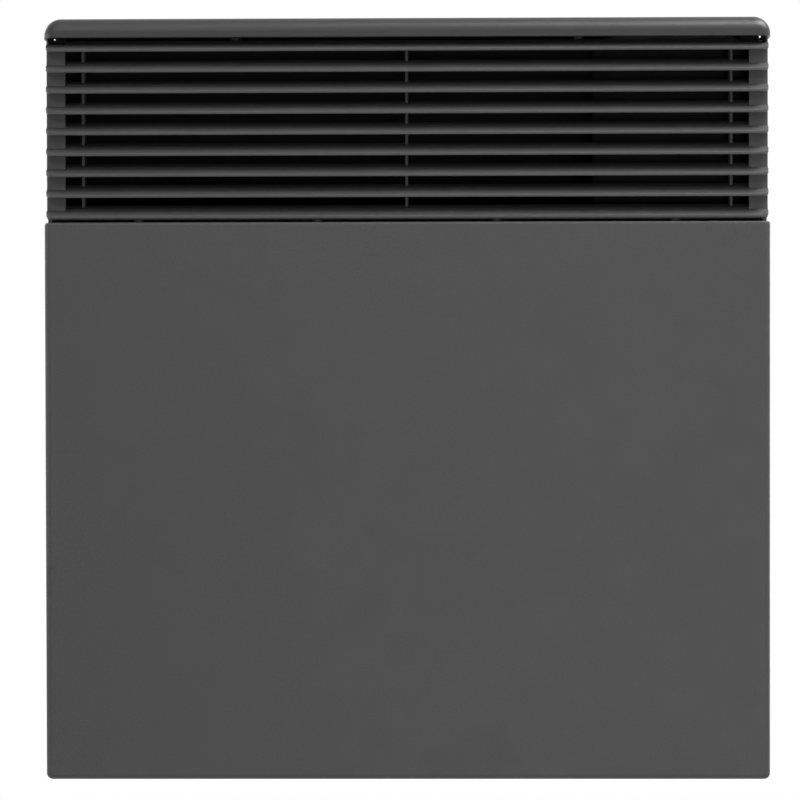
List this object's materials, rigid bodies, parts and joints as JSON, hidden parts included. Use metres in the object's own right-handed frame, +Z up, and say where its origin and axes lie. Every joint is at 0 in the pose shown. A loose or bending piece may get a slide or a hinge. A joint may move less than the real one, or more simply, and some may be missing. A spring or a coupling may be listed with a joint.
{
  "type": "convector heater",
  "caption": "Wall-hung electric convector heater with a flat front, a slatted air outlet above it, a bullnose top cover with recessed controls and a locking wall bracket.",
  "frame": {"origin": "centre of the four wall screws on the back face of the wall bracket, on the wall plane", "axes": "+Z up, +Y into the wall, so the front faces -Y; +X to the right seen from the room"},
  "size_m": [0.4222, 0.08, 0.44],
  "materials": {
    "cover_paint": "fine textured powder coat, satin",
    "grille_plastic": "moulded, fine textured",
    "cap_plastic": "moulded, fine textured, satin",
    "galvanised": "zinc coated sheet",
    "bracket_paint": "powder coat",
    "bright_sheet": "mill finish",
    "black_sheet": "matt heat-proof black",
    "element_metal": "drawn",
    "steel": "turned",
    "ceramic": "unglazed ceramic",
    "housing_plastic": "moulded, matt black",
    "fascia_plastic": "moulded, fine texture",
    "dial_plastic": "moulded, satin",
    "board": "glass fibre laminate",
    "component_black": "moulded",
    "component_blue": "sleeved",
    "copper_coil": "enamelled wire round a core",
    "lens": "tinted clear plastic",
    "block_plastic": "moulded",
    "brass": "turned",
    "gland_rubber": "moulded",
    "spacer_rubber": "moulded",
    "lock_plastic": "moulded, red",
    "wire_brown": "silicone sleeve",
    "wire_blue": "silicone sleeve",
    "wire_green": "silicone sleeve",
    "wire_white": "silicone sleeve",
    "wire_black": "thin lead"
  },
  "bodies": {
    "heater": {"front_cover": "cover_paint", "outlet_grille": "grille_plastic", "top_cover": "cap_plastic", "back_chassis": "galvanised", "inlet_grille": "galvanised", "heat_shield": "bright_sheet", "front_baffle": "bright_sheet", "air_deflector": "black_sheet", "heating_element": "element_metal", "element_terminals": "steel", "element_bushes": "ceramic", "element_bracket_left": "galvanised", "element_bracket_right": "galvanised", "thermal_cutout": "component_black", "sensor_clip": "block_plastic", "room_sensor": "component_black", "control_housing": "housing_plastic", "control_fascia": "fascia_plastic", "indicator_lens": "lens", "circuit_board": "board", "board_screws": "steel", "board_connector": "block_plastic", "transformer": "copper_coil", "capacitor": "component_blue", "relay": "component_black", "potentiometer": "steel", "rocker_switch": "component_black", "mode_switch": "component_black", "terminal_block": "block_plastic", "terminal_screws": "brass", "block_screws": "steel", "cable_gland": "gland_rubber", "earth_stud": "brass", "live_wire": "wire_brown", "neutral_wire": "wire_blue", "earth_wire": "wire_green", "element_wire_right": "wire_white", "element_wire_left": "wire_white", "cutout_wire": "wire_white", "sensor_wire": "wire_black", "wall_bracket": "bracket_paint", "lock_pivots": "steel", "wall_spacers": "spacer_rubber", "cover_screws": "bracket_paint", "grille_screws": "steel", "cap_screws": "steel", "sheet_metal_screws": "steel"},
    "dial": {"thermostat_dial": "dial_plastic", "dial_shaft": "steel"},
    "rocker": {"switch_rocker": "component_black"},
    "selector": {"mode_slider": "dial_plastic"},
    "left_lock": {"lock_lever_left": "lock_plastic"},
    "right_lock": {"lock_lever_right": "lock_plastic"}
  },
  "joints": [
    {"name": "dial_turn", "type": "hinge", "parent": "heater", "child": "dial", "pos_m": [0.18, -0.041, 0.1899], "axis": [0, 0, -1], "range_deg": [0, 270]},
    {"name": "rocker_tip", "type": "hinge", "parent": "heater", "child": "rocker", "pos_m": [0.15, -0.041, 0.1889], "axis": [1, 0, 0], "range_deg": [-24, 0]},
    {"name": "selector_slide", "type": "slide", "parent": "heater", "child": "selector", "axis": [0, -1, 0], "range_m": [0, 0.008]},
    {"name": "left_lock_turn", "type": "hinge", "parent": "heater", "child": "left_lock", "pos_m": [-0.08, -0.00875, 0.14], "axis": [0, 0, 1], "range_deg": [0, 90]},
    {"name": "right_lock_turn", "type": "hinge", "parent": "heater", "child": "right_lock", "pos_m": [0.08, -0.00875, 0.14], "axis": [0, 0, -1], "range_deg": [0, 90]}
  ]
}
